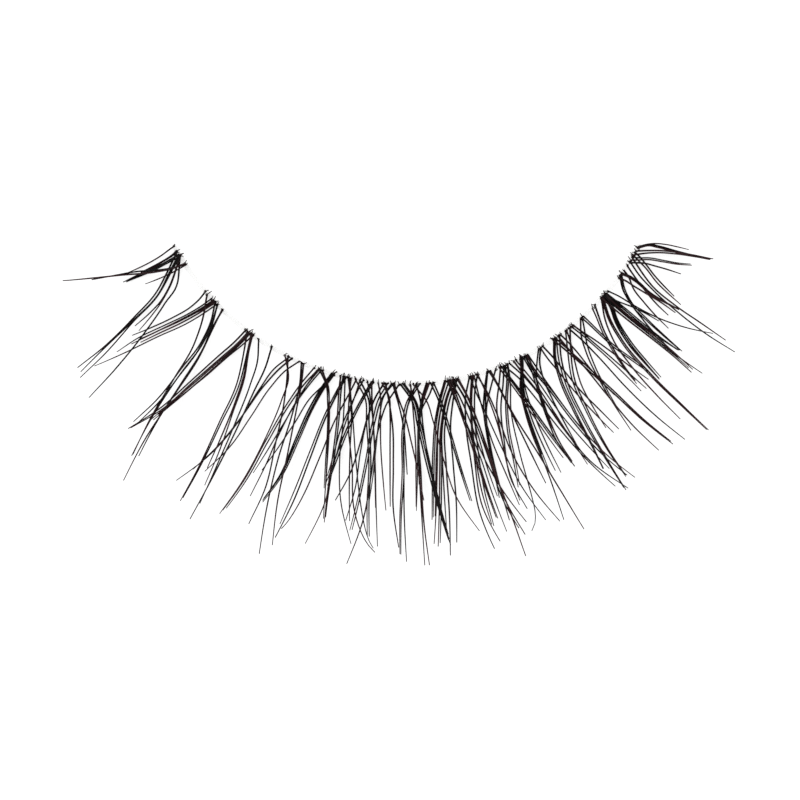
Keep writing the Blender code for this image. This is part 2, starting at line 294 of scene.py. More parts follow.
# One wisp of fibres a row. lock is the solid that it replaces part of and level
# its step in height. The next six are its place along the band at its root, at a
# tenth, a quarter, half and three quarters of its reach, and at its tip, and hook
# is how far the tip itself turns aside.
lashColumns = ("lock", "level", "root", "tenth", "quarter", "half", "threeQuarter", "tip",
               "reach", "fibres", "rootSpread", "tipSpread", "hook")
lashStations = np.array([0.0, 0.1, 0.25, 0.5, 0.75, 1.0])
lashRows = (
    # outer corner, open clusters
    (1, 0, 0.001, 0.002, 0.004, 0.005, 0.004, 0.002, 0.28, 1, 0.000, 0.000, 0.000),
    (1, 0, 0.0095, 0.0120, 0.0132, 0.0133, 0.0125, 0.0112, 0.21, 1, 0.000, 0.000, 0.000),
    (1, 0, 0.0165, 0.0172, 0.0170, 0.0163, 0.0140, 0.0118, 0.31, 3, 0.009, 0.003, 0.000),
    (1, 1, 0.012, 0.0282, 0.0480, 0.0612, 0.0686, 0.0700, 0.73, 1, 0.000, 0.000, 0.000),
    (1, 1, 0.018, 0.0325, 0.0525, 0.0635, 0.0698, 0.0758, 0.73, 1, 0.000, 0.000, 0.000),
    (1, 1, 0.021, 0.0355, 0.0540, 0.0655, 0.0757, 0.0806, 0.75, 1, 0.000, 0.000, 0.000),
    (1, 1, 0.0205, 0.0325, 0.0475, 0.0632, 0.0692, 0.0713, 0.38, 1, 0.000, 0.000, 0.000),
    (1, 1, 0.0225, 0.0335, 0.0490, 0.0650, 0.0738, 0.0797, 0.38, 1, 0.000, 0.000, 0.000),
    (1, 1, 0.022, 0.0555, 0.0715, 0.0885, 0.0985, 0.104, 0.78, 1, 0.000, 0.000, 0.000),
    (2, 2, 0.037, 0.033, 0.023, 0.003, -0.013, -0.027, 0.57, 1, 0.000, 0.000, 0.000),
    (2, 2, 0.038, 0.034, 0.025, 0.008, -0.003, -0.012, 0.44, 1, 0.000, 0.000, 0.000),
    (2, 1, 0.040, 0.0395, 0.0388, 0.0368, 0.0340, 0.0308, 0.22, 1, 0.003, 0.003, 0.000),
    (3, 0, 0.098, 0.101, 0.1015, 0.0955, 0.0875, 0.079, 0.42, 1, 0.000, 0.000, 0.000),
    (4, 0, 0.1145, 0.1125, 0.1075, 0.0965, 0.0870, 0.0835, 0.53, 1, 0.000, 0.000, 0.000),
    (4, 0, 0.1185, 0.1165, 0.1120, 0.1030, 0.0945, 0.0872, 0.45, 1, 0.000, 0.000, 0.000),
    (4, 0, 0.1215, 0.1195, 0.1145, 0.1058, 0.0965, 0.0885, 0.41, 1, 0.000, 0.000, 0.000),
    (4, 0, 0.1245, 0.1215, 0.1175, 0.1095, 0.1005, 0.0932, 0.41, 1, 0.000, 0.000, 0.000),
    (4, 1, 0.128, 0.1245, 0.1178, 0.1025, 0.0912, 0.0802, 0.66, 1, 0.000, 0.000, 0.000),
    (5, 2, 0.103, 0.125, 0.1455, 0.1595, 0.1695, 0.1815, 0.83, 1, 0.000, 0.000, 0.000),
    (5, 3, 0.127, 0.142, 0.154, 0.1595, 0.1632, 0.1605, 0.71, 2, 0.006, 0.004, 0.000),
    (5, 2, 0.130, 0.145, 0.157, 0.163, 0.171, 0.1815, 0.84, 1, 0.003, 0.003, 0.000),
    (5, 2, 0.1415, 0.1515, 0.1650, 0.174, 0.1805, 0.191, 0.96, 1, 0.000, 0.000, 0.000),
    (5, 2, 0.1425, 0.1490, 0.1615, 0.1710, 0.178, 0.1875, 0.82, 1, 0.000, 0.000, 0.000),
    (6, 0, 0.1965, 0.1938, 0.1870, 0.1785, 0.1715, 0.159, 0.75, 1, 0.000, 0.000, 0.000),
    (6, 0, 0.2015, 0.1990, 0.1918, 0.1818, 0.1745, 0.1605, 0.74, 1, 0.000, 0.000, 0.000),
    (7, 2, 0.204, 0.218, 0.2345, 0.2435, 0.2495, 0.2515, 0.91, 2, 0.012, 0.002, 0.000),
    (8, 1, 0.205, 0.2022, 0.1962, 0.1872, 0.179, 0.172, 0.66, 2, 0.004, 0.003, 0.000),
    (8, 1, 0.2120, 0.2078, 0.2002, 0.1912, 0.182, 0.1745, 0.60, 1, 0.000, 0.000, 0.000),
    (9, 2, 0.211, 0.2215, 0.2380, 0.2510, 0.2605, 0.2655, 0.76, 1, 0.000, 0.000, 0.000),
    (9, 2, 0.208, 0.2195, 0.234, 0.247, 0.254, 0.2585, 0.68, 1, 0.003, 0.001, 0.000),
    (9, 2, 0.2240, 0.2410, 0.2518, 0.2610, 0.2665, 0.2705, 0.85, 1, 0.000, 0.000, 0.000),
    (10, 1, 0.251, 0.2585, 0.2618, 0.2668, 0.2690, 0.2692, 0.94, 1, 0.000, 0.000, 0.000),
    # outer side, single wisps that close up towards the middle
    (11, 0, 0.2865, 0.2735, 0.2678, 0.2635, 0.2535, 0.236, 0.81, 1, 0.000, 0.000, 0.000),
    (11, 0, 0.292, 0.281, 0.2715, 0.2645, 0.257, 0.245, 0.72, 1, 0.000, 0.000, 0.000),
    (11, 2, 0.278, 0.299, 0.305, 0.306, 0.303, 0.295, 0.85, 1, 0.003, 0.004, 0.000),
    (11, 2, 0.283, 0.296, 0.309, 0.321, 0.330, 0.328, 0.84, 1, 0.003, 0.003, 0.000),
    (12, 0, 0.3055, 0.2910, 0.2812, 0.2752, 0.2700, 0.2578, 0.70, 1, 0.000, 0.000, 0.000),
    (13, 2, 0.310, 0.3208, 0.3273, 0.3315, 0.3388, 0.348, 0.96, 1, 0.000, 0.000, 0.000),
    (13, 2, 0.314, 0.323, 0.331, 0.341, 0.348, 0.358, 0.90, 1, 0.000, 0.000, 0.000),
    (14, 0, 0.3385, 0.327, 0.317, 0.3095, 0.305, 0.296, 0.85, 2, 0.009, 0.003, 0.000),
    (14, 0, 0.348, 0.3398, 0.3305, 0.3217, 0.3155, 0.3095, 0.60, 1, 0.000, 0.000, 0.000),
    (14, 0, 0.344, 0.335, 0.327, 0.321, 0.320, 0.317, 0.71, 1, 0.000, 0.000, 0.000),
    (15, 2, 0.346, 0.3635, 0.3745, 0.3855, 0.3925, 0.3985, 0.57, 2, 0.006, 0.003, 0.000),
    (15, 2, 0.3495, 0.367, 0.3785, 0.390, 0.398, 0.4045, 0.71, 1, 0.000, 0.000, 0.000),
    (16, 0, 0.371, 0.361, 0.346, 0.336, 0.327, 0.318, 0.57, 1, 0.004, 0.003, 0.000),
    (16, 0, 0.3695, 0.3605, 0.3525, 0.347, 0.343, 0.3310, 0.73, 3, 0.008, 0.002, 0.000),
    (17, 0, 0.390, 0.3825, 0.3745, 0.3682, 0.3640, 0.3590, 0.79, 1, 0.000, 0.000, 0.000),
    (17, 0, 0.393, 0.385, 0.377, 0.371, 0.3665, 0.3585, 0.86, 1, 0.000, 0.000, 0.000),
    (17, 2, 0.385, 0.388, 0.394, 0.400, 0.403, 0.407, 0.73, 2, 0.006, 0.002, 0.000),
    # middle, dense and crossing
    (18, 2, 0.391, 0.3965, 0.403, 0.4095, 0.4205, 0.4395, 0.81, 1, 0.000, 0.000, 0.000),
    (18, 3, 0.399, 0.407, 0.418, 0.432, 0.445, 0.459, 0.82, 1, 0.000, 0.000, 0.005),
    (18, 3, 0.397, 0.405, 0.414, 0.421, 0.428, 0.435, 0.70, 1, 0.004, 0.003, 0.000),
    (18, 3, 0.402, 0.405, 0.411, 0.427, 0.437, 0.458, 0.84, 1, 0.004, 0.004, 0.008),
    (19, 0, 0.4115, 0.4035, 0.3925, 0.3835, 0.376, 0.365, 0.81, 1, 0.000, 0.000, -0.003),
    (19, 0, 0.418, 0.414, 0.408, 0.4035, 0.402, 0.391, 0.85, 1, 0.000, 0.000, 0.000),
    (19, 0, 0.424, 0.418, 0.411, 0.403, 0.401, 0.399, 0.50, 1, 0.004, 0.003, 0.000),
    (20, 1, 0.440, 0.432, 0.422, 0.411, 0.4045, 0.399, 0.55, 2, 0.006, 0.003, 0.000),
    (20, 2, 0.413, 0.433, 0.4405, 0.4503, 0.4532, 0.458, 0.80, 2, 0.008, 0.003, 0.000),
    (21, 2, 0.431, 0.4395, 0.449, 0.458, 0.4635, 0.4685, 0.81, 1, 0.004, 0.001, 0.000),
    (21, 2, 0.4385, 0.4415, 0.4465, 0.454, 0.459, 0.463, 0.62, 1, 0.002, 0.001, 0.000),
    (21, 2, 0.450, 0.456, 0.459, 0.4635, 0.4695, 0.4755, 0.63, 1, 0.000, 0.000, 0.000),
    (22, 0, 0.461, 0.450, 0.441, 0.434, 0.427, 0.414, 0.61, 1, 0.000, 0.000, 0.000),
    (22, 0, 0.460, 0.449, 0.440, 0.436, 0.436, 0.430, 0.70, 1, 0.000, 0.000, 0.000),
    (22, 0, 0.471, 0.457, 0.450, 0.446, 0.442, 0.437, 0.77, 2, 0.008, 0.003, 0.000),
    (22, 0, 0.477, 0.463, 0.4582, 0.4568, 0.4567, 0.4550, 0.58, 1, 0.000, 0.000, 0.000),
    (23, 2, 0.457, 0.470, 0.474, 0.4765, 0.4785, 0.4805, 0.61, 1, 0.005, 0.002, 0.000),
    (23, 2, 0.463, 0.4705, 0.4785, 0.4822, 0.4838, 0.4915, 0.81, 1, 0.000, 0.000, 0.000),
    (23, 1, 0.487, 0.469, 0.458, 0.454, 0.450, 0.438, 0.91, 1, 0.004, 0.002, 0.000),
    (24, 2, 0.476, 0.481, 0.488, 0.496, 0.499, 0.501, 0.45, 1, 0.000, 0.000, 0.000),
    (24, 2, 0.479, 0.485, 0.496, 0.507, 0.515, 0.521, 0.58, 1, 0.004, 0.003, 0.000),
    (24, 2, 0.492, 0.511, 0.519, 0.529, 0.538, 0.547, 0.79, 3, 0.010, 0.004, 0.000),
    (25, 0, 0.521, 0.503, 0.4955, 0.4955, 0.493, 0.4935, 0.87, 2, 0.006, 0.001, 0.000),
    (25, 0, 0.517, 0.504, 0.4965, 0.4968, 0.4975, 0.500, 0.88, 1, 0.000, 0.000, 0.000),
    (25, 1, 0.507, 0.509, 0.511, 0.513, 0.512, 0.511, 0.61, 1, 0.004, 0.002, 0.000),
    (26, 2, 0.511, 0.531, 0.541, 0.5505, 0.5605, 0.5815, 0.76, 1, 0.000, 0.000, 0.000),
    (26, 2, 0.518, 0.523, 0.525, 0.531, 0.539, 0.549, 0.81, 1, 0.005, 0.006, 0.000),
    (27, 0, 0.535, 0.5265, 0.5195, 0.516, 0.514, 0.5115, 0.63, 1, 0.005, 0.002, 0.000),
    (27, 0, 0.538, 0.525, 0.518, 0.517, 0.518, 0.519, 0.90, 1, 0.000, 0.000, 0.000),
    (27, 0, 0.540, 0.527, 0.519, 0.519, 0.520, 0.524, 0.90, 1, 0.000, 0.000, 0.000),
    (27, 1, 0.548, 0.540, 0.525, 0.519, 0.517, 0.516, 0.50, 1, 0.000, 0.000, 0.000),
    (27, 2, 0.545, 0.552, 0.559, 0.566, 0.572, 0.578, 0.61, 2, 0.006, 0.002, 0.000),
    (28, 0, 0.571, 0.560, 0.5485, 0.5395, 0.5350, 0.5315, 0.68, 3, 0.008, 0.003, 0.000),
    (28, 0, 0.580, 0.565, 0.5525, 0.5445, 0.539, 0.5335, 0.83, 3, 0.012, 0.008, 0.000),
    (29, 0, 0.586, 0.5690, 0.5555, 0.5495, 0.547, 0.5455, 0.72, 1, 0.000, 0.000, 0.000),
    (29, 0, 0.589, 0.5725, 0.5585, 0.5530, 0.5505, 0.5465, 0.86, 1, 0.003, 0.001, 0.000),
    (29, 0, 0.589, 0.5788, 0.5678, 0.563, 0.5603, 0.555, 0.80, 1, 0.000, 0.000, 0.000),
    (29, 2, 0.576, 0.581, 0.587, 0.594, 0.5992, 0.6048, 0.73, 2, 0.006, 0.002, 0.000),
    (29, 2, 0.573, 0.579, 0.589, 0.600, 0.605, 0.611, 0.79, 1, 0.004, 0.002, 0.000),
    (30, 2, 0.577, 0.587, 0.5955, 0.6035, 0.617, 0.6345, 0.77, 1, 0.000, 0.000, 0.000),
    (30, 2, 0.583, 0.5915, 0.5995, 0.604, 0.606, 0.610, 0.61, 1, 0.003, 0.001, 0.000),
    (30, 2, 0.587, 0.597, 0.605, 0.612, 0.616, 0.628, 0.83, 2, 0.006, 0.003, 0.000),
    (30, 2, 0.592, 0.601, 0.608, 0.613, 0.620, 0.624, 0.93, 1, 0.000, 0.000, 0.000),
    (30, 0, 0.6115, 0.5985, 0.5900, 0.5865, 0.5852, 0.593, 0.86, 1, 0.004, 0.001, 0.001),
    (30, 0, 0.616, 0.607, 0.599, 0.592, 0.5895, 0.6005, 0.83, 1, 0.004, 0.001, 0.001),
    (30, 0, 0.619, 0.610, 0.6015, 0.595, 0.593, 0.5965, 0.74, 1, 0.000, 0.000, 0.000),
    (31, 0, 0.626, 0.615, 0.606, 0.599, 0.596, 0.598, 0.75, 1, 0.005, 0.003, 0.000),
    # inner side, wisps with long sweeps
    (31, 2, 0.613, 0.616, 0.623, 0.632, 0.641, 0.655, 0.79, 1, 0.004, 0.003, 0.000),
    (31, 2, 0.620, 0.6195, 0.6195, 0.6212, 0.6272, 0.6325, 0.68, 1, 0.000, 0.000, 0.000),
    (31, 2, 0.6265, 0.6295, 0.6328, 0.6352, 0.634, 0.632, 0.50, 1, 0.002, 0.001, 0.000),
    (31, 2, 0.625, 0.633, 0.6385, 0.6422, 0.653, 0.6695, 0.82, 1, 0.003, 0.001, 0.000),
    (32, 0, 0.645, 0.6345, 0.6235, 0.617, 0.616, 0.617, 0.74, 1, 0.000, 0.000, 0.000),
    (32, 0, 0.645, 0.6345, 0.623, 0.616, 0.6138, 0.612, 0.62, 1, 0.005, 0.001, 0.000),
    (32, 2, 0.648, 0.653, 0.6575, 0.6622, 0.6662, 0.6698, 0.62, 1, 0.005, 0.002, 0.000),
    (32, 2, 0.650, 0.655, 0.661, 0.674, 0.683, 0.690, 0.90, 1, 0.000, 0.000, 0.000),
    (33, 0, 0.6605, 0.6460, 0.6285, 0.6175, 0.614, 0.612, 0.62, 1, 0.000, 0.000, 0.000),
    (33, 0, 0.669, 0.6585, 0.6435, 0.6355, 0.632, 0.6345, 0.66, 1, 0.003, 0.001, 0.000),
    (33, 0, 0.675, 0.665, 0.649, 0.6375, 0.6315, 0.640, 0.71, 1, 0.003, 0.001, 0.000),
    (33, 0, 0.679, 0.674, 0.661, 0.648, 0.643, 0.638, 0.61, 2, 0.006, 0.003, 0.000),
    (33, 0, 0.683, 0.676, 0.662, 0.6532, 0.6500, 0.6475, 0.82, 1, 0.000, 0.000, -0.010),
    (34, 2, 0.668, 0.673, 0.680, 0.6895, 0.6975, 0.7055, 0.56, 2, 0.006, 0.004, 0.000),
    (34, 2, 0.672, 0.6775, 0.6855, 0.695, 0.7035, 0.7105, 0.60, 1, 0.004, 0.002, 0.000),
    (34, 2, 0.676, 0.690, 0.701, 0.713, 0.726, 0.741, 0.78, 1, 0.004, 0.002, 0.000),
    (34, 2, 0.686, 0.6985, 0.7095, 0.7190, 0.7300, 0.7515, 0.82, 1, 0.000, 0.000, 0.000),
    (34, 2, 0.698, 0.704, 0.7115, 0.7175, 0.7215, 0.7245, 0.62, 1, 0.004, 0.002, 0.000),
    (34, 2, 0.6945, 0.6990, 0.7062, 0.7142, 0.721, 0.727, 0.58, 1, 0.000, 0.000, 0.000),
    (35, 0, 0.708, 0.697, 0.6835, 0.6785, 0.677, 0.6742, 0.82, 1, 0.004, 0.001, 0.000),
    (35, 0, 0.708, 0.699, 0.687, 0.682, 0.6802, 0.6795, 0.57, 1, 0.004, 0.001, 0.000),
    (35, 0, 0.706, 0.700, 0.691, 0.685, 0.685, 0.687, 0.58, 1, 0.004, 0.003, 0.000),
    (35, 0, 0.708, 0.701, 0.6935, 0.690, 0.690, 0.692, 0.60, 1, 0.000, 0.000, 0.000),
    (35, 1, 0.709, 0.702, 0.689, 0.681, 0.678, 0.678, 0.50, 2, 0.006, 0.002, 0.000),
    (35, 0, 0.718, 0.717, 0.713, 0.707, 0.705, 0.710, 0.59, 2, 0.006, 0.003, 0.000),
    (36, 2, 0.717, 0.719, 0.727, 0.736, 0.747, 0.763, 0.80, 2, 0.006, 0.003, 0.000),
    (36, 2, 0.713, 0.714, 0.718, 0.725, 0.735, 0.745, 0.69, 1, 0.004, 0.002, 0.000),
    (36, 2, 0.722, 0.724, 0.727, 0.732, 0.737, 0.743, 0.52, 1, 0.000, 0.000, 0.000),
    (37, 0, 0.7435, 0.7325, 0.7195, 0.7095, 0.706, 0.703, 0.43, 1, 0.000, 0.000, 0.000),
    (37, 0, 0.748, 0.7355, 0.7272, 0.7240, 0.7238, 0.7245, 0.51, 1, 0.000, 0.000, 0.000),
    (37, 2, 0.747, 0.748, 0.752, 0.758, 0.765, 0.772, 0.55, 1, 0.000, 0.000, 0.000),
    (37, 2, 0.752, 0.756, 0.760, 0.765, 0.773, 0.780, 0.55, 1, 0.000, 0.000, 0.000),
    (38, 0, 0.776, 0.761, 0.750, 0.7437, 0.7413, 0.7385, 0.69, 2, 0.006, 0.001, 0.000),
    (38, 0, 0.784, 0.768, 0.7550, 0.7485, 0.7473, 0.7482, 0.83, 2, 0.008, 0.001, 0.000),
    (39, 2, 0.777, 0.7835, 0.7918, 0.8025, 0.8102, 0.820, 0.77, 2, 0.006, 0.002, 0.000),
    (39, 2, 0.789, 0.7915, 0.7940, 0.7955, 0.7978, 0.801, 0.40, 1, 0.003, 0.001, 0.000),
    (39, 2, 0.784, 0.786, 0.790, 0.793, 0.796, 0.803, 0.75, 1, 0.000, 0.000, 0.000),
    (40, 0, 0.805, 0.788, 0.7685, 0.7583, 0.755, 0.7568, 0.78, 2, 0.009, 0.001, 0.000),
    (40, 0, 0.803, 0.797, 0.786, 0.772, 0.768, 0.767, 0.51, 1, 0.005, 0.003, 0.000),
    # inner corner, short open clusters
    (41, 2, 0.8075, 0.8125, 0.8165, 0.8195, 0.8248, 0.833, 0.79, 1, 0.000, 0.000, 0.000),
    (41, 2, 0.8155, 0.819, 0.823, 0.8285, 0.832, 0.8345, 0.48, 2, 0.008, 0.008, 0.000),
    (41, 2, 0.817, 0.821, 0.828, 0.8365, 0.8425, 0.849, 0.45, 1, 0.000, 0.000, 0.000),
    (42, 0, 0.834, 0.818, 0.806, 0.797, 0.793, 0.791, 0.59, 1, 0.004, 0.003, 0.000),
    (42, 0, 0.838, 0.829, 0.816, 0.804, 0.798, 0.7945, 0.45, 1, 0.000, 0.000, 0.000),
    (42, 2, 0.839, 0.8405, 0.842, 0.845, 0.851, 0.8565, 0.43, 2, 0.004, 0.003, 0.000),
    (43, 0, 0.865, 0.859, 0.850, 0.841, 0.836, 0.834, 0.43, 2, 0.007, 0.003, 0.000),
    (44, 0, 0.885, 0.867, 0.852, 0.8443, 0.8433, 0.8445, 0.70, 1, 0.004, 0.001, 0.000),
    (44, 0, 0.888, 0.8715, 0.8595, 0.8552, 0.8565, 0.8583, 0.87, 2, 0.006, 0.001, 0.000),
    (44, 0, 0.893, 0.8893, 0.8765, 0.8660, 0.8625, 0.8605, 0.50, 3, 0.009, 0.004, 0.000),
    (45, 2, 0.891, 0.8903, 0.8912, 0.894, 0.8955, 0.8948, 0.58, 3, 0.010, 0.003, 0.000),
    (45, 2, 0.897, 0.8978, 0.8985, 0.899, 0.9005, 0.9035, 0.46, 2, 0.003, 0.001, 0.000),
    (45, 2, 0.894, 0.893, 0.8932, 0.8945, 0.897, 0.901, 0.62, 1, 0.002, 0.001, 0.000),
    (45, 2, 0.903, 0.908, 0.912, 0.920, 0.932, 0.947, 0.54, 1, 0.000, 0.000, 0.000),
    (45, 2, 0.893, 0.896, 0.9008, 0.909, 0.9142, 0.9175, 0.29, 1, 0.000, 0.000, 0.000),
    (46, 0, 0.937, 0.923, 0.913, 0.904, 0.899, 0.897, 0.46, 1, 0.005, 0.003, 0.000),
    (46, 0, 0.939, 0.9245, 0.9130, 0.908, 0.906, 0.905, 0.48, 2, 0.006, 0.001, 0.000),
    (46, 0, 0.949, 0.945, 0.934, 0.926, 0.921, 0.918, 0.35, 1, 0.000, 0.000, 0.000),
    (46, 2, 0.933, 0.936, 0.937, 0.939, 0.941, 0.941, 0.33, 1, 0.004, 0.002, 0.000),
    (46, 2, 0.942, 0.945, 0.946, 0.943, 0.945, 0.948, 0.34, 2, 0.005, 0.003, 0.000),
    (47, 0, 0.960, 0.955, 0.949, 0.941, 0.9355, 0.9325, 0.31, 1, 0.004, 0.002, 0.000),
    (47, 0, 0.968, 0.958, 0.950, 0.944, 0.942, 0.9437, 0.68, 1, 0.000, 0.000, 0.000),
    (47, 0, 0.976, 0.966, 0.955, 0.9498, 0.9495, 0.949, 0.61, 1, 0.000, 0.000, 0.000),
    (48, 0, 0.980, 0.977, 0.973, 0.9635, 0.9582, 0.9548, 0.33, 1, 0.003, 0.002, 0.000),
    (48, 0, 0.986, 0.984, 0.979, 0.9702, 0.9642, 0.9597, 0.28, 1, 0.000, 0.000, 0.000),
    (48, 2, 0.966, 0.971, 0.978, 0.984, 0.989, 0.993, 0.25, 1, 0.004, 0.002, 0.000),
    (49, 2, 0.974, 0.9790, 0.9878, 0.9965, 1.0040, 1.0130, 0.28, 2, 0.006, 0.002, 0.000),
    (49, 2, 0.985, 0.994, 1.005, 1.017, 1.025, 1.031, 0.36, 2, 0.008, 0.004, 0.000),
    (49, 2, 0.996, 1.0075, 1.0135, 1.0192, 1.025, 1.031, 0.35, 2, 0.004, 0.001, 0.000),
    (49, 2, 0.998, 1.0060, 1.0145, 1.0225, 1.0275, 1.0315, 0.23, 1, 0.004, 0.005, 0.000),
)


def spreadFibres():
    # One entry a fibre: the wisp's values, moved aside by its place in the wisp,
    # with a small seeded variation of length, thickness and waver. A wisp is
    # spread at its root, packed side by side at its waist and loose at its tips.
    rows = {key: np.array(column, dtype=float) for key, column in zip(lashColumns, zip(*lashRows))}
    counts = rows["fibres"].astype(int)
    wisp = np.repeat(np.arange(len(counts)), counts)
    first = np.repeat(np.cumsum(counts) - counts, counts)
    place = np.arange(len(wisp)) - first
    many = counts[wisp]
    offset = np.where(many > 1, place / np.maximum(many - 1, 1) - 0.5, 0.0)
    fibre = {key: column[wisp] for key, column in rows.items()}
    rng = np.random.default_rng(lashes["seed"])
    loose = rng.uniform(-0.5, 0.5, (4, len(wisp)))
    evenRoot, looseRoot = lashes["rootMix"]
    evenTip, looseTip = lashes["tipMix"]
    rootAside = (evenRoot * offset + looseRoot * loose[0]) * fibre["rootSpread"]
    waistAside = offset * (many - 1) * lashes["packing"]
    tipAside = (evenTip * offset + looseTip * loose[1]) * fibre["tipSpread"]
    aside = (rootAside[:, None] * np.array(lashes["rootPull"])
             + waistAside[:, None] * np.array(lashes["waistPull"])
             + tipAside[:, None] * np.array(lashes["tipPull"]))
    stationNames = lashColumns[2:8]
    fibre["stations"] = np.stack([fibre[name] for name in stationNames], axis=1) + aside
    fibre["root"] = fibre["stations"][:, 0]
    fibre["ended"] = 1 - np.where(many == 1, 0.0, lashes["shorter"] * (loose[2] + 0.5))
    fibre["lift"] = lashes["looseHeight"] * (loose[3] + 0.5)
    fibre["thick"] = lashes["thickness"] * rng.uniform(*lashes["thicknessSpread"], len(wisp))
    fibre["waver"] = lashes["wave"] * rng.uniform(-1.0, 1.0, len(wisp))
    fibre["phase"] = rng.uniform(0.0, 2 * np.pi, len(wisp))
    meanMore, mostMore = lashes["stubMore"]
    more = rng.exponential(meanMore, len(wisp)).clip(0, mostMore)
    fibre["stub"] = lashes["stub"] * (lashes["stubShortest"] + more)
    fibre["tone"] = rng.uniform(0.0, 1.0, len(wisp)) ** lashes["paleness"]
    return fibre


def throughStations(values, at):
    # A cubic between neighbouring stations: with u from 0 to 1 between them,
    # low * (2u^3 - 3u^2 + 1) + high * (3u^2 - 2u^3), and the slopes there, taken
    # from the stations beside them, times gap * (u^3 - 2u^2 + u) and gap * (u^3 - u^2).
    # values is (fibres, 6) and at (fibres, steps).
    slopes = np.gradient(values, lashStations, axis=1)
    left = np.clip(np.searchsorted(lashStations, at, side="right") - 1, 0, len(lashStations) - 2)
    gap = np.diff(lashStations)[left]
    u = (at - lashStations[left]) / gap
    low = np.take_along_axis(values, left, axis=1)
    high = np.take_along_axis(values, left + 1, axis=1)
    lowSlope = np.take_along_axis(slopes, left, axis=1)
    highSlope = np.take_along_axis(slopes, left + 1, axis=1)
    return (low * (2 * u ** 3 - 3 * u ** 2 + 1) + high * (3 * u ** 2 - 2 * u ** 3)
            + gap * (lowSlope * (u ** 3 - 2 * u ** 2 + u) + highSlope * (u ** 3 - u ** 2)))


def fibrePaths(fibre):
    # The place along the band goes through the stations, plus hook * t^power and
    # wave * sin(turn * t + phase) * t * (1.2 - t), while the reach is t times the
    # full length. Behind the knot the cut end goes straight on.
    t = np.linspace(0, 1, lashes["steps"])[None, :] ** lashes["crowding"]
    column = {key: value[:, None] for key, value in fibre.items() if value.ndim == 1}
    at = t * column["ended"]
    share = throughStations(fibre["stations"], at) + column["hook"] * t ** lashes["hookPower"]
    waver = column["waver"] * np.sin(lashes["waveTurn"] * t + column["phase"])
    share = share + waver * t * (1.2 - t)
    reach = at * column["reach"] * lashes["drawnOut"]
    lean = (share[:, 1:2] - share[:, 0:1]) / (reach[:, 1:2] - reach[:, 0:1])
    back = np.linspace(1, 0, lashes["rootSteps"], endpoint=False)[None, :] * column["stub"]
    share = np.concatenate([share[:, 0:1] - lean * back, share], axis=1)
    reach = np.concatenate([-back, reach], axis=1)
    risen = np.clip(reach / lashes["levelReach"], 0, 1)
    raised = column["level"] * strip["levelPitch"] * risen * risen * (3 - 2 * risen)
    lowest = fringeFloor(share, np.clip(reach, 0, None))
    height = lowest + raised + column["lift"] + column["thick"] * 0.5
    plan = planPoint(share, reach * strip["reach"])
    paths = np.concatenate([plan, height[..., None]], axis=2)
    along = np.concatenate([np.zeros((1, lashes["rootSteps"])), t], axis=1)
    slim = np.interp(along, lashStations, lashes["slimness"])
    return paths, column["thick"] * 0.5 * slim, along


def lashMesh(name, fibre, chosen):
    # Closed tubes along the fibres' paths. fibreMap runs once round a fibre in u and
    # gives millimetres along it in v, and the tone attribute, each fibre's random tone
    # times a painted shade that is darkest at the root, grows from root to tip.
    some = {key: value[chosen] for key, value in fibre.items()}
    paths, radii, along = fibrePaths(some)
    points, quads, grid = tubeArrays(paths, radii, lashes["sides"])
    caps = [grid[:, 0, :], grid[:, -1, ::-1]]
    mesh = meshFromArrays(name, points, quads, caps)
    # painted shade: each fibre's tone darkened towards its root, where the fibres crowd at the
    # knots
    rootShade = lashes["shadedToneAtRoot"] + (1 - lashes["shadedToneAtRoot"]) * along[..., None]
    tone = np.broadcast_to(some["tone"][:, None, None] * rootShade, grid.shape)
    attribute = mesh.attributes.new("toneWithRootShade", "FLOAT", "POINT")
    attribute.data.foreach_set("value", tone.astype(np.float32).ravel())
    lengths = np.linalg.norm(np.diff(paths, axis=1), axis=2).cumsum(axis=1)
    lengths = np.concatenate([np.zeros((len(paths), 1)), lengths], axis=1) * 1000
    aroundShare = np.arange(lashes["sides"]) / lashes["sides"]
    u = np.broadcast_to(aroundShare[None, None, :], grid.shape).ravel()
    v = np.broadcast_to(lengths[:, :, None], grid.shape).ravel()
    corner = np.empty(len(mesh.loops), dtype=np.int32)
    mesh.loops.foreach_get("vertex_index", corner)
    cornerU = u[corner]
    starts = np.arange(len(quads)) * 4
    for side in (2, 3):                                # the seam's far edge ends at 1, not 0
        wrapped = cornerU[starts + side] < cornerU[starts]
        cornerU[starts + side] = np.where(wrapped, 1.0, cornerU[starts + side])
    layer = mesh.uv_layers.new(name="fibreMap")
    layer.data.foreach_set("uv", np.stack([cornerU, v[corner]], axis=1).astype(np.float32).ravel())
    return mesh


knots = {
    "radius": 0.000050,
    "radiusSpread": (0.8, 1.25),
    "lobes": 3,
    "lobeDepth": 0.12,        # of the radius
    "wire": 0.000024,
    "wireSpread": (0.85, 1.2),
    "steps": 14,
    "sides": 6,
    "astray": 0.0012,         # from its fibre's root, as a share of the band
    "outward": (-0.00002, 0.00009),    # from the band's middle
    "above": (0.00001, 0.00006),       # room under the ring before it is tilted
    "turned": 0.6,            # radians about the upright, either way
    "tilted": (0.15, 0.6),    # radians
    "tailSteps": 7,
    "tailLength": 0.0042,     # of a knot's cut end along the band, as a share
    "tailBow": (-0.00010, 0.00006),
    "tailBowTurn": 2.2,       # radians of the bow along it
    "tailBehind": 0.00026,    # how far that end may stand out behind the band's middle
    "tailBehindSpread": (-0.1, 1.0),
    "tailArch": 0.00004,
    "tailLift": 0.00001,
    "tailWire": 0.000034,
    "tailTaper": 0.35,
}


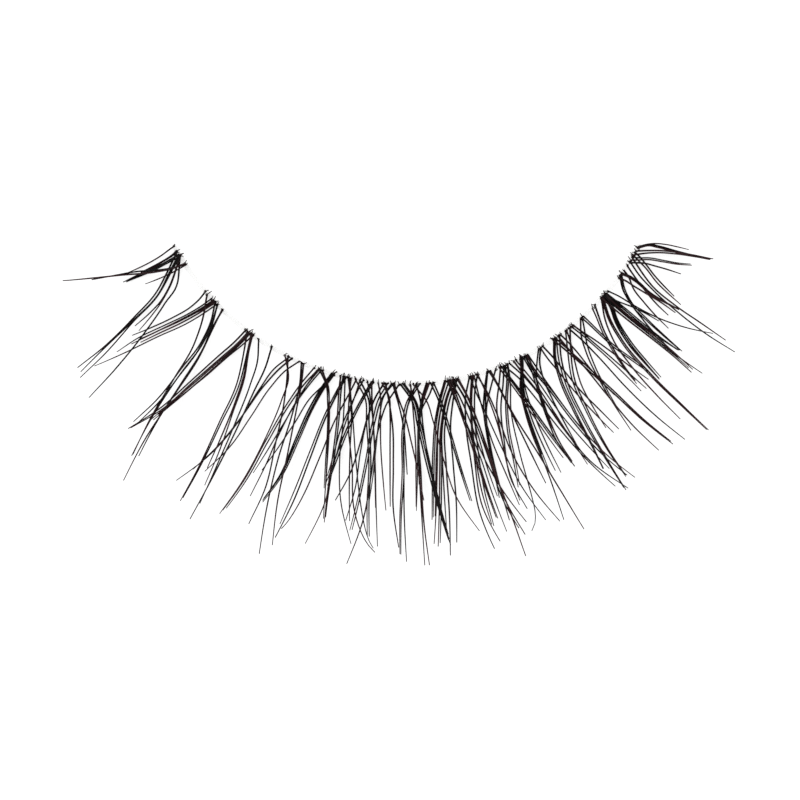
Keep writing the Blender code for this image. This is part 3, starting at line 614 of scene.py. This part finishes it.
def knotMesh(name, fibre, chosen):
    # A turn of fibre at each root: a round wire along centre + radius * (cos a * first
    # + sin a * second), a tilted circle over the band, with the radius times
    # 1 + depth * sin(lobes * a). The knot's cut end is a tube of its own.
    rng = np.random.default_rng(lashes["seed"] + int(chosen[0]))
    count = len(chosen)
    share = fibre["root"][chosen] + rng.uniform(-knots["astray"], knots["astray"], count)
    plan = planPoint(share, rng.uniform(*knots["outward"], count))
    low = strip["bandTop"] + knots["wire"] + rng.uniform(*knots["above"], count)
    centre = np.concatenate([plan, low[:, None]], axis=1)
    angle = (share - 0.5) * 2 * strip["bandHalfAngle"]
    angle = angle + rng.uniform(-knots["turned"], knots["turned"], count)
    first = np.stack([np.cos(angle), np.sin(angle), np.zeros(count)], axis=1)
    tilt = rng.uniform(*knots["tilted"], count)
    second = np.stack([-np.sin(angle) * np.cos(tilt), np.cos(angle) * np.cos(tilt),
                       np.sin(tilt)], axis=1)
    around = np.linspace(0, 2 * np.pi, knots["steps"], endpoint=False)
    swell = 1 + knots["lobeDepth"] * np.sin(knots["lobes"] * around)
    radius = knots["radius"] * rng.uniform(*knots["radiusSpread"], count)[:, None] * swell
    ringPaths = (centre[:, None, :]
                 + radius[..., None] * np.cos(around)[:, None] * first[:, None, :]
                 + radius[..., None] * np.sin(around)[:, None] * second[:, None, :])
    turn = np.arange(knots["sides"]) * 2 * np.pi / knots["sides"]
    outward = ringPaths - centre[:, None, :]
    outward /= np.linalg.norm(outward, axis=2, keepdims=True)
    normal = np.cross(first, second)[:, None, :]
    wire = knots["wire"] * rng.uniform(*knots["wireSpread"], count)[:, None, None, None]
    section = (np.cos(turn)[:, None] * outward[:, :, None, :]
               + np.sin(turn)[:, None] * normal[:, :, None, :])
    points = ringPaths[:, :, None, :] + wire * section
    grid = np.arange(points[..., 0].size).reshape(count, knots["steps"], knots["sides"])
    nextStep = np.roll(grid, -1, axis=1)
    nextRound = np.roll(grid, -1, axis=2)
    nextBoth = np.roll(nextStep, -1, axis=2)
    quads = np.stack([grid, nextStep, nextBoth, nextRound], axis=-1).reshape(-1, 4)
    tails, tailQuads, tailGrid = knotTails(share, low, rng)
    caps = [tailGrid[:, 0, :] + grid.size, tailGrid[:, -1, ::-1] + grid.size]
    allPoints = np.concatenate([points.reshape(-1, 3), tails])
    allQuads = np.concatenate([quads, tailQuads + grid.size])
    return meshFromArrays(name, allPoints, allQuads, caps)


def knotTails(share, low, rng):
    # The cut end of each knot lies askew on the band: share = knot's share
    # + length * t and out = bow * sin(turn * t) - behind * t, with a low arch in height.
    count = len(share)
    t = np.linspace(0, 1, knots["tailSteps"])[None, :]
    length = knots["tailLength"] * rng.uniform(-1.0, 1.0, count)[:, None]
    bow = rng.uniform(*knots["tailBow"], count)[:, None]
    behind = knots["tailBehind"] * rng.uniform(*knots["tailBehindSpread"], count)[:, None]
    out = bow * np.sin(knots["tailBowTurn"] * t) - behind * t
    plan = planPoint(share[:, None] + length * t, out)
    height = low[:, None] + knots["tailArch"] * np.sin(np.pi * t) + knots["tailLift"]
    paths = np.concatenate([plan, height[..., None]], axis=2)
    radii = knots["tailWire"] * (1 - knots["tailTaper"] * t) * np.ones((count, 1))
    return tubeArrays(paths, radii, knots["sides"])


fibre = spreadFibres()
lockNumbers = fibre["lock"].astype(int)
for number in range(1, lashes["locks"] + 1):
    chosen = np.flatnonzero(lockNumbers == number)
    wispName = f"lashWisp_{number:02d}"
    knotName = f"lashKnot_{number:02d}"
    addPiece(wispName, lashMesh(wispName, fibre, chosen), lashFibre,
             [f"lash_lock_{number:02d}"])
    addPiece(knotName, knotMesh(knotName, fibre, chosen), knotFibre, [])
print("lashes:", len(lockNumbers), "fibres in", lashes["locks"], "locks")


band = {
    "width": 0.00034,
    "height": strip["bandTop"],
    "endShare": 0.005,        # how far it runs past places 0 and 1, and how long its ends are
    "endThinnestSquared": 0.02,    # square of the least share of the section at an end
    "steps": 320,
    "round": 16,
    "crown": 0.7,             # below 1 the section is fuller than a half ellipse
    "waver": 0.05,
    "waves": (70, 163),       # radians along the band, for two waves of the waver
}


def makeBand():
    # A flat-bottomed section carried along the arc: x = w/2 * cos a, and
    # z = h * (sin a)^crown over a half turn, closed by a flat foot, with a width and
    # height that vary by a few hundredths along the band and shrink at its ends.
    share = np.linspace(-band["endShare"], 1 + band["endShare"], band["steps"])
    fromEnd = np.minimum(share - share[0], share[-1] - share) / band["endShare"]
    rounded = 1 - (1 - np.clip(fromEnd, 0, 1)) ** 2
    ends = np.sqrt(np.clip(rounded, band["endThinnestSquared"], 1))
    slow, quick = band["waves"]
    waver = 1 + band["waver"] * (np.sin(slow * share) * 0.5 + np.sin(quick * share + 1.0) * 0.5)
    angle = np.linspace(0, np.pi, band["round"])
    across = 0.5 * band["width"] * np.cos(angle)[None, :] * (ends * waver)[:, None]
    crowned = np.sin(angle)[None, :] ** band["crown"]
    height = band["height"] * crowned * (ends * (2 - waver))[:, None]
    plan = planPoint(share[:, None], across)
    points = np.concatenate([plan, height[..., None]], axis=2).reshape(-1, 3)
    grid = np.arange(len(points)).reshape(band["steps"], band["round"])
    nextRound = np.roll(grid, -1, axis=1)
    quads = np.stack([grid[:-1], grid[1:], nextRound[1:], nextRound[:-1]], axis=-1).reshape(-1, 4)
    caps = [grid[:1, :], grid[-1:, ::-1]]
    return meshFromArrays("clearBand", points, quads, caps)


addPiece("clearBand", makeBand(), clearBand, ["lash_band"])
print("band made")


stage = {
    "floorSize": 1.6,
    "floorDrop": 0.00002,     # below the band's foot
    "skyStrength": 0.35,
    "keyStrength": 0.45,
    "keySize": 0.25,          # across the lamp's disc
    "keyPlace": (-0.18, 0.22, 0.34),
    "keyTurn": (-33, -26, 0),     # degrees
    "cameraHeight": 1.00,
    "sensor": 36,             # millimetres
    "pixels": 800,
    "pixelSize": 0.00006,     # the photograph's scale, metres for each of its pixels
    "lookAt": (-0.00039, -0.00096),
}


def makeStage():
    half = stage["floorSize"] / 2
    corners = [(-half, -half, 0), (half, -half, 0), (half, half, 0), (-half, half, 0)]
    mesh = bpy.data.meshes.new("floor")
    mesh.from_pydata(corners, [], [(0, 1, 2, 3)])
    mesh.materials.append(litFloor)
    floor = bpy.data.objects.new("floor", mesh)
    floor.location.z = -stage["floorDrop"]
    bpy.context.scene.collection.objects.link(floor)


def makeLight():
    world = bpy.data.worlds.new("softSky")
    world.use_nodes = True
    sky = world.node_tree.nodes["Background"]
    sky.inputs["Color"].default_value = (1.0, 1.0, 1.0, 1.0)
    sky.inputs["Strength"].default_value = stage["skyStrength"]
    bpy.context.scene.world = world
    light = bpy.data.lights.new("softKey", "AREA")
    light.shape = "DISK"
    light.size = stage["keySize"]
    light.energy = stage["keyStrength"]
    key = bpy.data.objects.new("softKey", light)
    key.location = stage["keyPlace"]
    key.rotation_euler = [math.radians(turn) for turn in stage["keyTurn"]]
    bpy.context.scene.collection.objects.link(key)


def makeCamera():
    # straight down, with a long lens: width seen = sensor * height / lens
    camera = bpy.data.cameras.new("photoCamera")
    camera.sensor_width = stage["sensor"]
    camera.lens = stage["sensor"] * stage["cameraHeight"] / (stage["pixels"] * stage["pixelSize"])
    camera.clip_start = 0.001
    camera.clip_end = 20
    holder = bpy.data.objects.new("photoCamera", camera)
    holder.location = (*stage["lookAt"], stage["cameraHeight"])
    bpy.context.scene.collection.objects.link(holder)
    bpy.context.scene.camera = holder


makeStage()
makeLight()
makeCamera()
bpy.context.scene.view_settings.view_transform = "Standard"
print("stage set")
